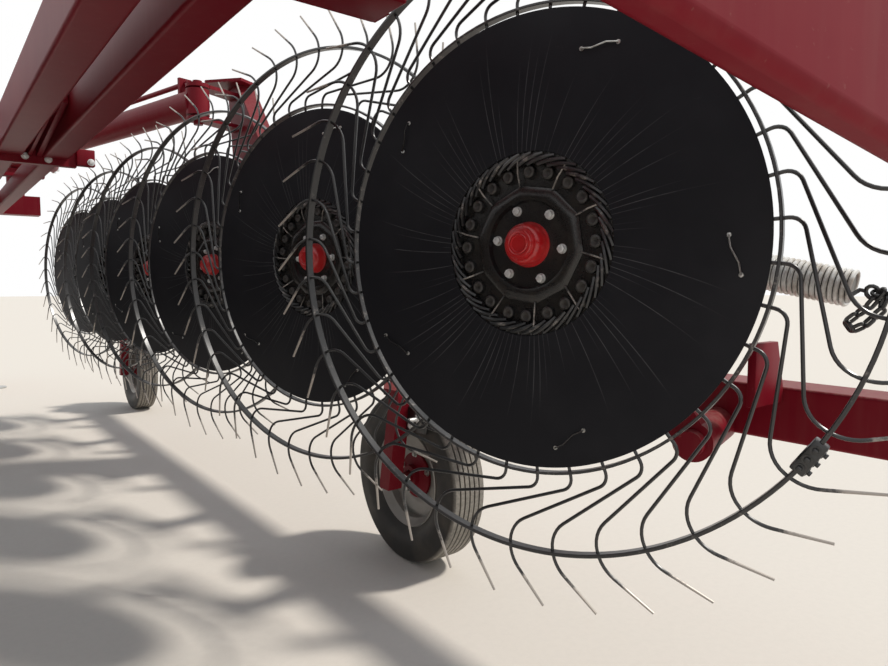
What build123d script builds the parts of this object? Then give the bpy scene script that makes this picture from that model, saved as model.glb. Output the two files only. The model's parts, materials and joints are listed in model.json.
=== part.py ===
from build123d import *
from math import atan2, cos, degrees, hypot, radians, sin, tan
import os

# Twelve-wheel V rake in its transport position, in millimetres.
# X is to the right, Y forward along the line of travel, Z up from the ground.
# The right bank is modelled, and the left one is its mirror image in the plane X = 0.
os.makedirs("parts", exist_ok=True)

# Overall length from the rear cross arm's back face to the hitch's front
overall_length = 9200
rear_y = -overall_length / 2
front_y = rear_y + overall_length

# Rake wheels of one bank
wheels_per_bank = 6
wheel_pitch = 970
first_wheel_back = 1150  # from the rear end to the first hub
hub_x = 600
hub_height = 1180
wheel_toe = 17.1  # between a wheel's plane and the bank's line
tine_count = 40
tine_size = 7
tip_radius = 765
tip_trail = 7
ring_radius = 650
ring_sweep = 25
ring_bar = 8
ring_depth = 22
hoop_radius = 480
hoop_bar = 6
hoop_depth = 20
bend_radius = 505
bend_sweep = 2.5
panel_radius = 468
panel_hole_radius = 190
panel_thickness = 4
drum_radius = 186
drum_depth = 26
plug_ring_radius = 152
hub_plate_radius = 105
hub_plate_height = 12
cap_radius = 44
cap_nose_radius = 30
cap_height = 46
hub_barrel_radius = 42
hub_barrel_back = 70
seat_gap = 0.3
spindle_radius = 17.5
running_fit = 0.05

# Crank arms: pivot place in the wheel's own plane, and lift
crank_back = 270
crank_drop = 440
crank_plane = 310  # behind the tines' plane
crank_thickness = 40
crank_width = 76
pivot_radius = 30
pivot_boss_radius = 46
pivot_nose = 30
crank_gap = 6
bushing_wall = 14
spindle_boss_radius = 36
lever_reach = 40
peg_radius = 12
peg_end = 520

# Toolbar with its column
toolbar_x = 1250
toolbar_size = 130
toolbar_bottom = 725
toolbar_start = 100  # from the rear end
toolbar_end = 6600
column_back = 3995  # middle of the column's foot, from the rear end
column_foot = (100, 410)
column_head = (100, 160)
column_waist = 1900  # height where its rear edge starts to lean forward
column_top = 2250
column_lean = 107
column_rake = 105
column_cap = 16
cap_nose = (210, 90)  # reach of the cap towards the knuckle and to the rear
lug_half = (33, 53)  # of the knuckle's lugs where they meet the column
post_back = 600  # behind its wheel's hub
post_height = 217
post_size = (24, 70)
stop_back = 245  # stop plate behind its wheel's hub
stop_reach = 133
stop_thickness = 20
stop_bottom = 820
stop_top = 965
stop_tip = 33

# Springs and their chains
spring_radius = 40
spring_length = 515
hook_length = 85
peg_gap = 4
chain_size = 16

# Swing arms
arm_pivot_x = 220
arm_pivot_back = 6600
arm_height = 2100
arm_tube_radius = 76
knuckle_x = 850
knuckle_back = 3990
knuckle_radius = 62
knuckle_length = 140
kingpin_radius = 25
kingpin_washer = 50
lug_thickness = 20
lug_gap = 10
rod_radius = 14
rod_rise = 125

# Main frame
beam_gap = 72
beam_width = 102
beam_depth = 152
beam_bottom = 1650
beam_wall = 8
beam_corner = 11
splice_back = 3600
front_beam_width = 76
front_beam_depth = 102
splice_plate = 20
splice_overhang = 60
crosshead_half = 380
crosshead_size = 150
rear_arm_front = 500  # front face of the cross arm at its middle, from the rear end
rear_arm_sweep = 8  # towards the rear, in plan
rear_arm_size = (44, 200)
rear_arm_bottom = 1316  # at its middle
rear_arm_droop = 275  # from its middle to an end
rear_arm_half = 1330
rear_arm_corner = 14
rear_post_size = (120, 90)
rest_gap = 8
leg_size = 70
tie_back = 1330
tie_half = 380
tie_size = 60

# Tongue, hitch and jack
tongue_size = 127
tongue_height = 560
knee_back = 8150
hitch_bore_radius = 16
hitch_plate = 25
hitch_gap = 60
hitch_reach = 110
hitch_width = 101
hitch_nose = 51
jack_back = 8500
jack_x = 130
jack_radius = 38
jack_wall = 12
jack_leg_radius = 30
jack_foot_radius = 110
jack_foot = 12
jack_top = 1000
jack_bottom = 250

# Carriage wheels
tyre_radius = 332
tyre_width = 156
tread_width = 128
shoulder_width = 148
shoulder_drop = 12
bead_width = 112
sidewall_width = 141
rim_radius = 190
tyre_backs = (2290, 6400)
kingpin_xs = (1128, 1062)
trail = 120
crown_plate = 25
crown_clear = 9
crown_width = 90
leg_width = 60
leg_lean = 70  # from the axle up to the crown, towards the rear
leg_side_clear = 18
axle_radius = 22
axle_end = 40
wheel_hub_radius = 62
rim_flange = 14
rim_disc = 12
housing_radius = 40
housing_height = 160

# Swing cylinders
cylinder_base_x = 190
cylinder_base_back = 5050
cylinder_height = 1945
cylinder_radius = 42
cylinder_rod_radius = 20
cylinder_lug_reach = 750
cylinder_eye = 36
cylinder_pin = 15
cylinder_base_pad = 27
barrel_start = 29


def back(distance):
    """Y of a place given by its distance from the rear end."""
    return rear_y + distance


def polar(radius, clockwise):
    """A point in a wheel's plane, by the clockwise angle seen from its face."""
    return (radius * cos(radians(clockwise)), -radius * sin(radians(clockwise)))


def save(part, name):
    part.label = name
    export_step(part, f"parts/{name}.step")


def save_pair(part, name):
    """A right-hand piece and its mirror image."""
    save(part, f"{name}_r")
    save(mirror(part, about=Plane.YZ), f"{name}_l")


toe = radians(wheel_toe)
face_direction = (-cos(toe), -sin(toe), 0)
rearward = (sin(toe), -cos(toe), 0)


def wheel_plane(number):
    """Plane of a rake wheel: Z towards its face, X to the rear, Y up."""
    y = back(first_wheel_back + (number - 1) * wheel_pitch)
    return Plane(origin=(hub_x, y, hub_height), x_dir=rearward, z_dir=face_direction)


# Rake wheel in its own plane: hub and drum, then tines, hoop and outer ring
drum_front = drum_depth / 2
with BuildPart() as tine:
    with BuildLine() as tine_line:
        Polyline(
            polar(plug_ring_radius, 0),
            polar(bend_radius, bend_sweep / 2),
            polar(ring_radius, ring_sweep),
            polar(tip_radius, ring_sweep - tip_trail),
        )
    with BuildSketch(Plane(origin=tine_line.line @ 0, z_dir=tine_line.line % 0)):
        Rectangle(tine_size, tine_size)
    sweep(path=tine_line.line, transition=Transition.RIGHT)

with BuildPart() as rake_wheel:
    with BuildSketch(Plane.XZ) as hub_profile:
        with BuildLine():
            Polyline(
                (spindle_radius + running_fit, -hub_barrel_back),
                (hub_barrel_radius, -hub_barrel_back),
                (hub_barrel_radius, -drum_front),
                (drum_radius, -drum_front),
                (drum_radius, drum_front / 2),
                (plug_ring_radius, drum_front / 2),
                (plug_ring_radius, -drum_front / 2),
                (hub_plate_radius, -drum_front / 2),
                (hub_plate_radius, hub_plate_height),
                (cap_radius, hub_plate_height),
                (cap_radius, hub_plate_height + cap_height / 2),
                (cap_nose_radius, hub_plate_height + cap_height),
                (0, hub_plate_height + cap_height),
                (0, hub_plate_height + cap_height / 2),
                (spindle_radius + running_fit, hub_plate_height + cap_height / 2),
                close=True,
            )
        make_face()
    revolve(axis=Axis.Z)
    with PolarLocations(0, tine_count):
        add(tine.part)
    for radius, bar, depth in ((ring_radius, ring_bar, ring_depth), (hoop_radius, hoop_bar, hoop_depth)):
        with BuildSketch(Plane.XY.offset(-depth / 2)):
            Circle(radius + bar / 2)
            Circle(radius - bar / 2, mode=Mode.SUBTRACT)
        extrude(amount=depth)

with BuildPart() as wind_panel:
    with BuildSketch(Plane.XY.offset(tine_size / 2 + seat_gap)):
        Circle(panel_radius)
        Circle(panel_hole_radius, mode=Mode.SUBTRACT)
    extrude(amount=panel_thickness)

# Crank arm in the same plane: spindle, arm, lever for the spring, pivot axle
crank_length = hypot(crank_back, crank_drop)
crank_angle = degrees(atan2(crank_drop, -crank_back))
crank_front = -crank_plane + crank_thickness / 2
crank_rear = -crank_plane - crank_thickness / 2
toolbar_inner = toolbar_x - toolbar_size / 2
pivot_reach = (toolbar_inner - hub_x - crank_back * sin(toe)) / cos(toe)
axle_end_z = -(pivot_reach - pivot_radius * tan(toe) - crank_gap)
lever_place = (-crank_back * lever_reach / crank_length, crank_drop * lever_reach / crank_length)
with BuildPart() as crank:
    with BuildSketch(Plane.XY.offset(crank_rear)):
        with Locations(((crank_back + lever_place[0]) / 2, (lever_place[1] - crank_drop) / 2)):
            SlotCenterToCenter(crank_length + lever_reach, crank_width, rotation=crank_angle)
        with Locations((crank_back, -crank_drop)):
            Circle(pivot_boss_radius)
    extrude(amount=crank_thickness)
    with BuildSketch(Plane.XY.offset(crank_front)):
        with Locations((crank_back, -crank_drop)):
            Circle(pivot_radius)
    extrude(amount=pivot_nose)
    with BuildSketch(Plane.XY.offset(crank_front)):
        Circle(spindle_boss_radius)
    extrude(amount=crank_plane - crank_thickness / 2 - hub_barrel_back - crank_gap)
    with BuildSketch(Plane.XY.offset(crank_rear)):
        Circle(spindle_radius)
    extrude(amount=-crank_rear + hub_plate_height + cap_height / 2 - crank_gap)
    with BuildSketch(Plane.XY.offset(crank_rear)):
        with Locations((crank_back, -crank_drop)):
            Circle(pivot_radius)
    extrude(amount=axle_end_z - crank_rear)
    with BuildSketch(Plane.XY.offset(crank_rear)):
        with Locations(lever_place):
            Circle(peg_radius)
    extrude(amount=-peg_end - crank_rear)

for number in range(1, wheels_per_bank + 1):
    place = wheel_plane(number).location
    save_pair(rake_wheel.part.moved(place), f"rake_wheel_{number}")
    save_pair(wind_panel.part.moved(place), f"wind_panel_{number}")
    save_pair(crank.part.moved(place), f"crank_arm_{number}")

# Toolbar: box beam, pivot bushings, kingpin housings and the column
toolbar_top = toolbar_bottom + toolbar_size
crown_bottom = 2 * tyre_radius + crown_clear
column_centre = back(column_back)
bushing_radius = pivot_radius + running_fit + bushing_wall
knuckle_place = Vector(knuckle_x, back(knuckle_back), arm_height)
head_place = Vector(toolbar_x - column_lean, column_centre + column_rake, column_top)
waist_lean = column_lean * (column_waist - toolbar_top) / (column_top - toolbar_top)
head_half = (column_head[0] / 2, column_head[1] / 2)
lug_bottom = arm_height - knuckle_length / 2 - lug_gap - lug_thickness
lug_step = knuckle_length + 2 * lug_gap + lug_thickness
with BuildPart() as toolbar:
    with BuildSketch(Plane.XZ.offset(-back(toolbar_start))):
        with Locations((toolbar_x, toolbar_bottom + toolbar_size / 2)):
            Rectangle(toolbar_size, toolbar_size)
    extrude(amount=-(toolbar_end - toolbar_start))
    fillet(toolbar.edges().filter_by(Axis.Y), radius=beam_wall)
    for number in range(1, wheels_per_bank + 1):
        with BuildSketch(wheel_plane(number).offset(crank_rear - crank_gap)):
            with Locations((crank_back, -crank_drop)):
                Circle(bushing_radius)
        extrude(amount=-(pivot_reach + bushing_radius * tan(toe)) - crank_rear + crank_gap)
    for kingpin_x, tyre_back in zip(kingpin_xs, tyre_backs):
        with BuildSketch(Plane.XY.offset(crown_bottom + crown_plate + seat_gap)):
            with Locations((kingpin_x, back(tyre_back + trail))):
                Circle(housing_radius)
        extrude(amount=housing_height)
        with BuildSketch(Plane.XY.offset(toolbar_bottom)):
            with Locations(((kingpin_x + toolbar_x) / 2, back(tyre_back + trail))):
                Rectangle(toolbar_x - kingpin_x, housing_radius)
        extrude(amount=toolbar_size)
    with BuildSketch(Plane.XY.offset(toolbar_top)):
        with Locations((toolbar_x, column_centre)):
            Rectangle(*column_foot)
    with BuildSketch(Plane.XY.offset(column_waist)):
        with Locations((toolbar_x - waist_lean, column_centre)):
            Rectangle(*column_foot)
    with BuildSketch(Plane.XY.offset(column_top)):
        with Locations((head_place.X, head_place.Y)):
            Rectangle(*column_head)
    loft(ruled=True)
    for height in (lug_bottom, lug_bottom + lug_step):
        with BuildSketch(Plane.XY.offset(height)):
            with BuildLine():
                Polyline(
                    (knuckle_x - knuckle_radius, knuckle_place.Y),
                    (knuckle_x + knuckle_radius, knuckle_place.Y - knuckle_radius / 2),
                    (head_place.X + lug_half[0], head_place.Y - lug_half[1]),
                    (head_place.X + lug_half[0], head_place.Y + lug_half[1]),
                    (head_place.X - lug_half[0], head_place.Y + lug_half[1]),
                    close=True,
                )
            make_face()
            with Locations((knuckle_x, knuckle_place.Y)):
                Circle(knuckle_radius)
        extrude(amount=lug_thickness)
    with BuildSketch(Plane.XY.offset(lug_bottom - lug_thickness)):
        with Locations((knuckle_x, knuckle_place.Y)):
            Circle(kingpin_radius)
    extrude(amount=lug_step + 3 * lug_thickness)
    with BuildSketch(Plane(origin=head_place)):
        with BuildLine():
            Polyline(
                (head_half[0] + column_cap, -head_half[1] - column_cap),
                (-head_half[0] - column_cap, -head_half[1] - cap_nose[1]),
                (-cap_nose[0], 0),
                (-cap_nose[0], column_cap),
                (-head_half[0] - column_cap, head_half[1] + column_cap),
                (head_half[0] + column_cap, head_half[1] + column_cap),
                close=True,
            )
        make_face()
    extrude(amount=column_cap)
    for number in range(1, wheels_per_bank + 1):
        with BuildSketch(wheel_plane(number).offset(crank_rear - crank_gap)):
            with Locations((crank_back, -crank_drop)):
                Circle(pivot_radius + running_fit)
        extrude(amount=axle_end_z - crank_rear, mode=Mode.SUBTRACT)
    for kingpin_x, tyre_back in zip(kingpin_xs, tyre_backs):
        with BuildSketch(Plane.XY.offset(crown_bottom + crown_plate)):
            with Locations((kingpin_x, back(tyre_back + trail))):
                Circle(kingpin_radius + running_fit)
        extrude(amount=housing_height + 1, mode=Mode.SUBTRACT)
save_pair(toolbar.part, "toolbar")

# Lift springs of a bank: a rod from the lever, the closed coil and the chain to its post,
# with the posts and the cranks' stop plates on the toolbar's inner face
post_x = toolbar_inner - seat_gap - post_size[0] / 2
post_top = toolbar_top + post_height
coil_end = hook_length + spring_length
with BuildPart() as springs:
    for number in range(1, wheels_per_bank + 1):
        hub_back = first_wheel_back + (number - 1) * wheel_pitch
        peg = wheel_plane(number).from_local_coords(Vector(*lever_place, -peg_end + chain_size))
        post_y = back(hub_back - post_back)
        hook = Vector(post_x, post_y + post_size[1] / 2, post_top - chain_size)
        line = (hook - peg).normalized()
        for start, length, radius in (
            (peg_radius + peg_gap, hook_length, chain_size / 2),
            (hook_length, spring_length, spring_radius),
            (coil_end, (hook - peg).length - coil_end + chain_size, chain_size / 2),
        ):
            with BuildSketch(Plane(origin=peg + line * start, z_dir=line)):
                Circle(radius)
            extrude(amount=length)
        with BuildSketch(Plane.XY.offset(toolbar_top)):
            with Locations((post_x, post_y)):
                Rectangle(post_size[0] + 2 * chain_size, post_size[1] + 2 * seat_gap)
        extrude(amount=post_height + chain_size, mode=Mode.SUBTRACT)
        with BuildSketch(Plane.XY.offset(toolbar_bottom + toolbar_size / 2)):
            with Locations((post_x, post_y)):
                Rectangle(*post_size)
        extrude(amount=toolbar_size / 2 + post_height)
        with BuildSketch(Plane.XZ.offset(-back(hub_back - stop_back))):
            with BuildLine():
                Polyline(
                    (toolbar_inner - seat_gap, stop_bottom),
                    (toolbar_inner - stop_reach, stop_bottom),
                    (toolbar_inner - stop_reach, stop_top),
                    (toolbar_inner - stop_tip, stop_top),
                    (toolbar_inner - seat_gap, toolbar_top),
                    close=True,
                )
            make_face()
        extrude(amount=stop_thickness)
save_pair(springs.part, "lift_springs")

# Carriage wheels: leg with its kingpin and stub axle, then rim and tyre
sidewall_radius = (rim_radius + tyre_radius) / 2
for number, kingpin_x, tyre_back in zip((1, 2), kingpin_xs, tyre_backs):
    leg_x = kingpin_x - tyre_width / 2 - leg_side_clear - leg_width / 2
    axle_y = back(tyre_back)
    kingpin_y = back(tyre_back + trail)
    with BuildPart() as leg:
        with BuildSketch(Plane.XY.offset(crown_bottom)):
            with BuildLine():
                Polyline(
                    (kingpin_x + crown_width / 2, kingpin_y - crown_width / 2),
                    (kingpin_x + crown_width / 2, kingpin_y + crown_width / 2),
                    (kingpin_x - crown_width / 2, kingpin_y + crown_width / 2),
                    (leg_x - leg_width / 2, axle_y),
                    (leg_x - leg_width / 2, axle_y - leg_lean - leg_width / 2),
                    (leg_x + leg_width / 2, axle_y - leg_lean - leg_width / 2),
                    close=True,
                )
            make_face()
        extrude(amount=crown_plate)
        with BuildSketch(Plane.YZ.offset(leg_x - leg_width / 2)):
            with BuildLine():
                Polyline(
                    (axle_y + leg_width / 2, tyre_radius - leg_width / 2),
                    (axle_y + leg_width / 2, tyre_radius),
                    (axle_y - leg_lean + leg_width / 2, crown_bottom),
                    (axle_y - leg_lean - leg_width / 2, crown_bottom),
                    (axle_y - leg_width / 2, tyre_radius - leg_width / 2),
                    close=True,
                )
            make_face()
        extrude(amount=leg_width)
        with BuildSketch(Plane.YZ.offset(leg_x)):
            with Locations((axle_y, tyre_radius)):
                Circle(axle_radius)
        extrude(amount=kingpin_x - leg_x + axle_end)
        with BuildSketch(Plane.XY.offset(crown_bottom)):
            with Locations((kingpin_x, kingpin_y)):
                Circle(kingpin_radius)
        extrude(amount=crown_plate + housing_height + lug_gap)
    save_pair(leg.part, f"caster_leg_{number}")
    wheel_axis = Plane(origin=(kingpin_x, axle_y, tyre_radius), x_dir=(0, 1, 0), z_dir=(1, 0, 0))
    with BuildPart() as road_wheel:
        with BuildSketch(Plane.XZ):
            with BuildLine():
                Polyline(
                    (axle_radius + running_fit, -axle_end),
                    (wheel_hub_radius, -axle_end),
                    (wheel_hub_radius, 0),
                    (rim_radius - rim_flange, 0),
                    (rim_radius - rim_flange, -bead_width / 2),
                    (rim_radius, -bead_width / 2),
                    (rim_radius, bead_width / 2),
                    (rim_radius - rim_flange, bead_width / 2),
                    (rim_radius - rim_flange, rim_disc),
                    (wheel_hub_radius, rim_disc),
                    (wheel_hub_radius, axle_end + rim_disc),
                    (0, axle_end + rim_disc),
                    (0, axle_end + seat_gap),
                    (axle_radius + running_fit, axle_end + seat_gap),
                    close=True,
                )
            make_face()
        revolve(axis=Axis.Z)
        with BuildSketch(Plane.XZ):
            with BuildLine():
                Polyline(
                    (rim_radius + seat_gap, -bead_width / 2),
                    ((rim_radius + sidewall_radius) / 2, -sidewall_width / 2),
                    (sidewall_radius, -tyre_width / 2),
                    (tyre_radius - shoulder_drop, -shoulder_width / 2),
                    (tyre_radius, -tread_width / 2),
                    (tyre_radius, tread_width / 2),
                    (tyre_radius - shoulder_drop, shoulder_width / 2),
                    (sidewall_radius, tyre_width / 2),
                    ((rim_radius + sidewall_radius) / 2, sidewall_width / 2),
                    (rim_radius + seat_gap, bead_width / 2),
                    close=True,
                )
            make_face()
        revolve(axis=Axis.Z, mode=Mode.ADD)
    save_pair(road_wheel.part.moved(wheel_axis.location), f"road_wheel_{number}")

# Swing arm: tube between the pivot boss and the knuckle boss, with its guide rod
arm_pivot = Vector(arm_pivot_x, back(arm_pivot_back), arm_height)
arm_direction = (knuckle_place - arm_pivot).normalized()
arm_span = (knuckle_place - arm_pivot).length
with BuildPart() as arm:
    with BuildSketch(Plane(origin=arm_pivot, z_dir=arm_direction)):
        Circle(arm_tube_radius)
    extrude(amount=arm_span)
    for centre in (arm_pivot, knuckle_place):
        with BuildSketch(Plane.XY.offset(arm_height - knuckle_length / 2)):
            with Locations((centre.X, centre.Y)):
                Circle(knuckle_radius)
        extrude(amount=knuckle_length)
        with BuildSketch(Plane.XY.offset(arm_height - arm_tube_radius - 1)):
            with Locations((centre.X, centre.Y)):
                Circle(kingpin_radius + running_fit)
        extrude(amount=2 * arm_tube_radius + 2, mode=Mode.SUBTRACT)
    lug_place = arm_pivot + arm_direction * cylinder_lug_reach
    with BuildSketch(Plane.XY.offset(cylinder_height + cylinder_eye)):
        with Locations((lug_place.X, lug_place.Y)):
            Circle(cylinder_eye)
    extrude(amount=arm_height - cylinder_height - cylinder_eye)
    guide_start = arm_pivot + arm_direction * arm_tube_radius + Vector(0, 0, rod_rise)
    with BuildSketch(Plane(origin=guide_start, z_dir=arm_direction)):
        Circle(rod_radius)
    extrude(amount=arm_span - 2 * arm_tube_radius)
    for reach in (arm_tube_radius + knuckle_radius, arm_span - arm_tube_radius - knuckle_radius):
        bracket = arm_pivot + arm_direction * reach
        with BuildSketch(Plane(origin=bracket, x_dir=(0, 0, 1), z_dir=arm_direction)):
            with Locations((rod_rise / 2, 0)):
                Rectangle(rod_rise + 4 * rod_radius, arm_tube_radius)
        extrude(amount=lug_thickness)
save_pair(arm.part, "swing_arm")

# Rear frame: twin beams, splice plates, cross tie, rear post and cross arm
beam_centre = (beam_gap + beam_width) / 2
beam_top = beam_bottom + beam_depth
sweep_angle = radians(rear_arm_sweep)
rear_arm_slope = rear_arm_droop / rear_arm_half
rear_arm_length = rear_arm_half / cos(sweep_angle)
rear_arm_y = back(rear_arm_front) - rear_arm_size[0] / 2
leg_y = rear_arm_y - toolbar_x * tan(sweep_angle)
leg_top = rear_arm_bottom - rear_arm_slope * toolbar_x + rear_arm_size[1] / 2
arm_plane = Plane(
    origin=(0, back(rear_arm_front), rear_arm_bottom),
    x_dir=(cos(sweep_angle), -sin(sweep_angle), 0),
    z_dir=(-sin(sweep_angle), -cos(sweep_angle), 0),
)
with BuildPart() as rear_arm_half_part:
    with BuildSketch(arm_plane):
        with BuildLine():
            Polyline(
                (0, 0),
                (rear_arm_length, -rear_arm_droop),
                (rear_arm_length, rear_arm_size[1] - rear_arm_droop),
                (0, rear_arm_size[1]),
                close=True,
            )
        make_face()
    extrude(amount=rear_arm_size[0])
    long_edges = rear_arm_half_part.edges().filter_by(
        lambda edge: abs(edge.length - hypot(rear_arm_length, rear_arm_droop)) < seat_gap
    )
    fillet(long_edges, radius=rear_arm_corner)
rear_arm = split(rear_arm_half_part.part, bisect_by=Plane.YZ, keep=Keep.TOP)
with BuildPart() as rear_frame:
    with BuildSketch(Plane.XZ.offset(-rear_y)):
        for side in (-1, 1):
            with Locations((side * beam_centre, beam_bottom + beam_depth / 2)):
                Rectangle(beam_width, beam_depth)
    extrude(amount=-splice_back)
    fillet(rear_frame.edges().filter_by(Axis.Y), radius=beam_corner)
    with BuildSketch(Plane.XZ.offset(-back(tie_back))):
        with Locations((0, beam_bottom - tie_size / 2)):
            Rectangle(2 * tie_half, tie_size)
    extrude(amount=-tie_size)
    with BuildSketch(Plane.XZ.offset(-back(splice_back - splice_plate))):
        with Locations((0, beam_bottom + beam_depth / 2)):
            Rectangle(beam_gap + 2 * beam_width + splice_overhang, beam_depth + splice_overhang)
    extrude(amount=-splice_plate)
    add(rear_arm)
    add(mirror(rear_arm, about=Plane.YZ))
    with BuildSketch(Plane.XY.offset(rear_arm_bottom + rear_arm_size[1] / 2)):
        with Locations((0, rear_arm_y)):
            Rectangle(*rear_post_size)
    extrude(amount=beam_top - rear_arm_bottom - rear_arm_size[1] / 2)
    for side in (-1, 1):
        with BuildSketch(Plane.XY.offset(toolbar_top + rest_gap)):
            with Locations((side * toolbar_x, leg_y)):
                Rectangle(leg_size, leg_size)
        extrude(amount=leg_top - toolbar_top - rest_gap)
save(rear_frame.part, "rear_frame")

# Front frame: splice plate, twin narrow beams, crosshead with the swing arm pins
front_beam_top = beam_bottom + front_beam_depth
crosshead_back = arm_pivot_back
front_beam_length = crosshead_back - splice_back - splice_plate
crosshead_top = beam_bottom + crosshead_size
pin_bottom = arm_height - knuckle_length / 2 - lug_gap
cylinder_base = Vector(cylinder_base_x, back(cylinder_base_back), cylinder_height)
with BuildPart() as front_frame:
    with BuildSketch(Plane.XZ.offset(-back(splice_back + splice_plate))):
        for side in (-1, 1):
            with Locations((side * beam_centre, beam_bottom + front_beam_depth / 2)):
                Rectangle(front_beam_width, front_beam_depth)
    extrude(amount=-front_beam_length)
    fillet(front_frame.edges().filter_by(Axis.Y), radius=beam_corner)
    with BuildSketch(Plane.XZ.offset(-back(splice_back + seat_gap))):
        with Locations((0, beam_bottom + beam_depth / 2)):
            Rectangle(beam_gap + 2 * beam_width + splice_overhang, beam_depth + splice_overhang)
    extrude(amount=-splice_plate)
    with BuildSketch(Plane.XY.offset(beam_bottom)):
        with Locations((0, back(crosshead_back))):
            Rectangle(2 * crosshead_half, crosshead_size)
    extrude(amount=crosshead_size)
    for side in (-1, 1):
        with BuildSketch(Plane.XY.offset(crosshead_top)):
            with Locations((side * arm_pivot_x, back(crosshead_back))):
                Circle(knuckle_radius)
        extrude(amount=pin_bottom - crosshead_top)
        with BuildSketch(Plane.XY.offset(crosshead_top)):
            with Locations((side * arm_pivot_x, back(crosshead_back))):
                Circle(kingpin_radius)
        extrude(amount=pin_bottom - crosshead_top + knuckle_length + 2 * lug_gap)
        with BuildSketch(Plane.XY.offset(pin_bottom + knuckle_length + 2 * lug_gap)):
            with Locations((side * arm_pivot_x, back(crosshead_back))):
                Circle(kingpin_washer)
        extrude(amount=lug_thickness / 2)
        with BuildSketch(Plane.XY.offset(front_beam_top)):
            with Locations((side * cylinder_base_x, cylinder_base.Y)):
                Circle(cylinder_pin)
        extrude(amount=cylinder_height + cylinder_eye - front_beam_top)
    with BuildSketch(Plane.XY.offset(front_beam_top)):
        with Locations((0, cylinder_base.Y)):
            Rectangle(2 * cylinder_base_x + 2 * cylinder_eye, 2 * cylinder_eye)
    extrude(amount=lug_thickness)
    for side in (-1, 1):
        with BuildSketch(Plane.XY.offset(front_beam_top)):
            with Locations((side * cylinder_base_x, cylinder_base.Y)):
                Circle(cylinder_base_pad)
        extrude(amount=cylinder_height - cylinder_eye / 2 - seat_gap - front_beam_top)
save(front_frame.part, "front_frame")

# Tongue: sloping beam from the crosshead, level drawbar and clevis
tongue_root_y = back(crosshead_back) + crosshead_size / 2 + seat_gap
tongue_root = Vector(0, tongue_root_y, beam_bottom + crosshead_size / 2)
tongue_knee = Vector(0, back(knee_back), tongue_height)
with BuildPart() as tongue:
    with BuildLine() as tongue_line:
        Polyline(
            tongue_root + (tongue_root - tongue_knee).normalized() * tongue_size,
            tongue_knee,
            (0, front_y - hitch_reach, tongue_height),
        )
    tongue_start = Plane(origin=tongue_line.line @ 0, z_dir=tongue_line.line % 0, x_dir=(1, 0, 0))
    with BuildSketch(tongue_start):
        Rectangle(tongue_size, tongue_size)
    sweep(path=tongue_line.line, transition=Transition.RIGHT)
    split(bisect_by=Plane(origin=tongue_root, z_dir=(0, 1, 0)))
    for height in (tongue_height - hitch_gap / 2 - hitch_plate, tongue_height + hitch_gap / 2):
        with BuildSketch(Plane.XY.offset(height)):
            with Locations((0, front_y - hitch_reach)):
                Rectangle(hitch_width, hitch_reach)
            with Locations((0, front_y - hitch_nose)):
                Circle(hitch_nose)
            with Locations((0, front_y - hitch_nose)):
                Circle(hitch_bore_radius, mode=Mode.SUBTRACT)
        extrude(amount=hitch_plate)
    with BuildSketch(Plane.XZ.offset(-back(jack_back - jack_radius - jack_wall))):
        with Locations(((jack_x + jack_radius + jack_wall) / 2, tongue_height)):
            Rectangle(jack_x + jack_radius + jack_wall, tongue_size / 2)
    extrude(amount=-2 * (jack_radius + jack_wall))
    with BuildSketch(Plane.XY.offset(tongue_height - tongue_size)):
        with Locations((jack_x, back(jack_back))):
            Circle(jack_radius + seat_gap)
    extrude(amount=2 * tongue_size, mode=Mode.SUBTRACT)
save(tongue.part, "tongue")

# Parking jack: outer tube with its crank, and the leg with its foot
with BuildPart() as jack:
    with BuildSketch(Plane.XY.offset(jack_bottom)):
        with Locations((jack_x, back(jack_back))):
            Circle(jack_radius)
            Circle(jack_leg_radius + running_fit, mode=Mode.SUBTRACT)
    extrude(amount=jack_top - jack_bottom)
    with BuildSketch(Plane.XY.offset(jack_top)):
        with Locations((jack_x, back(jack_back))):
            Circle(jack_radius)
    extrude(amount=lug_thickness)
save(jack.part, "jack_tube")

with BuildPart() as jack_leg:
    with BuildSketch(Plane.XY):
        with Locations((jack_x, back(jack_back))):
            Circle(jack_foot_radius)
    extrude(amount=jack_foot)
    with BuildSketch(Plane.XY):
        with Locations((jack_x, back(jack_back))):
            Circle(jack_leg_radius)
    extrude(amount=jack_top - jack_bottom)
save(jack_leg.part, "jack_leg")

# Swing cylinders: barrel on the front frame's pin, rod to the lug under the arm
cylinder_lug = arm_pivot + arm_direction * cylinder_lug_reach
cylinder_end = Vector(cylinder_lug.X, cylinder_lug.Y, cylinder_height)
cylinder_direction = (cylinder_end - cylinder_base).normalized()
cylinder_span = (cylinder_end - cylinder_base).length
barrel_end = cylinder_span - 2 * cylinder_eye - rod_radius


def cylinder_plane(distance):
    """Plane across the cylinder, by the distance from its base pin."""
    return Plane(origin=cylinder_base + cylinder_direction * distance, z_dir=cylinder_direction)


with BuildPart() as barrel:
    with BuildSketch(cylinder_plane(barrel_start)):
        Circle(cylinder_radius)
    extrude(amount=barrel_end - cylinder_eye)
    with BuildSketch(Plane.XY.offset(cylinder_height - cylinder_eye / 2)):
        with Locations((cylinder_base.X, cylinder_base.Y)):
            Circle(cylinder_eye)
    extrude(amount=cylinder_eye)
    with BuildSketch(Plane.XY.offset(cylinder_height - cylinder_eye)):
        with Locations((cylinder_base.X, cylinder_base.Y)):
            Circle(cylinder_pin + running_fit)
    extrude(amount=2 * cylinder_eye, mode=Mode.SUBTRACT)
    with BuildSketch(cylinder_plane(2 * cylinder_eye)):
        Circle(cylinder_rod_radius + running_fit)
    extrude(amount=cylinder_span, mode=Mode.SUBTRACT)
save_pair(barrel.part, "cylinder_barrel")

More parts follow.
